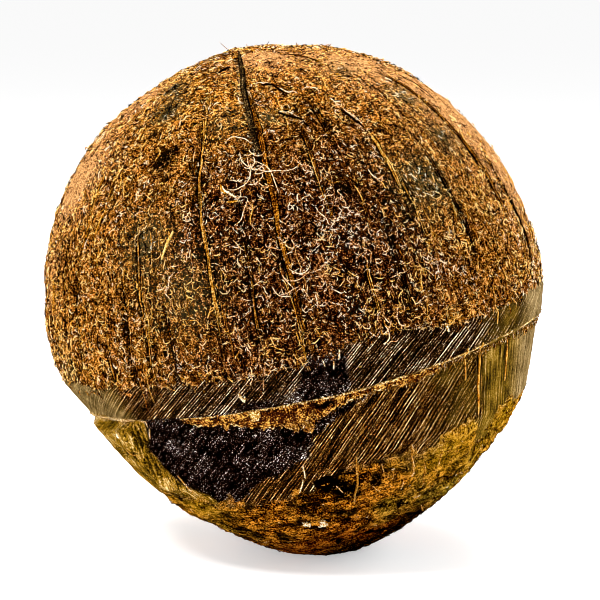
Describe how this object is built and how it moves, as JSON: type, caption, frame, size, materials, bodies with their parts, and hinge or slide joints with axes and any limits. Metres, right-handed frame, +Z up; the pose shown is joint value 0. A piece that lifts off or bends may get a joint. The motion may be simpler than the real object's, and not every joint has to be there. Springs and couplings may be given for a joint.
{
  "type": "husked coconut",
  "caption": "Brown coconut in its fibrous husk, shaved flat in a band round the lower half, standing on a small flat spot.",
  "frame": {"origin": "middle of the bounding box's base, level with the flat spot that the nut stands on", "axes": "+Z up, +X to the right and -Y to the front, the side from which the stem end leans left"},
  "size_m": [0.115, 0.115, 0.1162],
  "materials": {
    "husk": "matt brown coir, with a dark sawn band and ochre fibres below it"
  },
  "bodies": {
    "root": {"coconut": "husk"}
  },
  "joints": []
}
